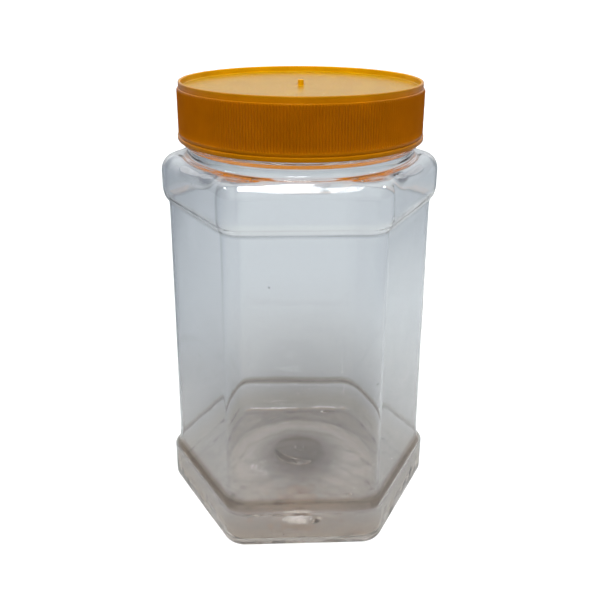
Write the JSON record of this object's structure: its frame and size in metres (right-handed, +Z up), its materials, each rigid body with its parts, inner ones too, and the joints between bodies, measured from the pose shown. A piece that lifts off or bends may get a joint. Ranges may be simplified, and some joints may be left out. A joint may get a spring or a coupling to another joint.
{
  "type": "hexagonal screw cap jar",
  "caption": "Empty clear plastic jar with a hexagonal body, raised bands, a round screw neck and a ribbed screw cap.",
  "frame": {"origin": "centre of the ring that the jar stands on", "axes": "+Z up through the neck and the cap; +X through one upright corner of the hexagon; +Y out of a flat side, and the pictured side faces -Y"},
  "size_m": [0.102, 0.0908, 0.1626],
  "materials": {
    "clear_pet": "clear, glossy, faintly grey",
    "cap_plastic": "satin orange-yellow"
  },
  "bodies": {
    "root": {"jar": "clear_pet", "cap": "cap_plastic"}
  },
  "joints": []
}
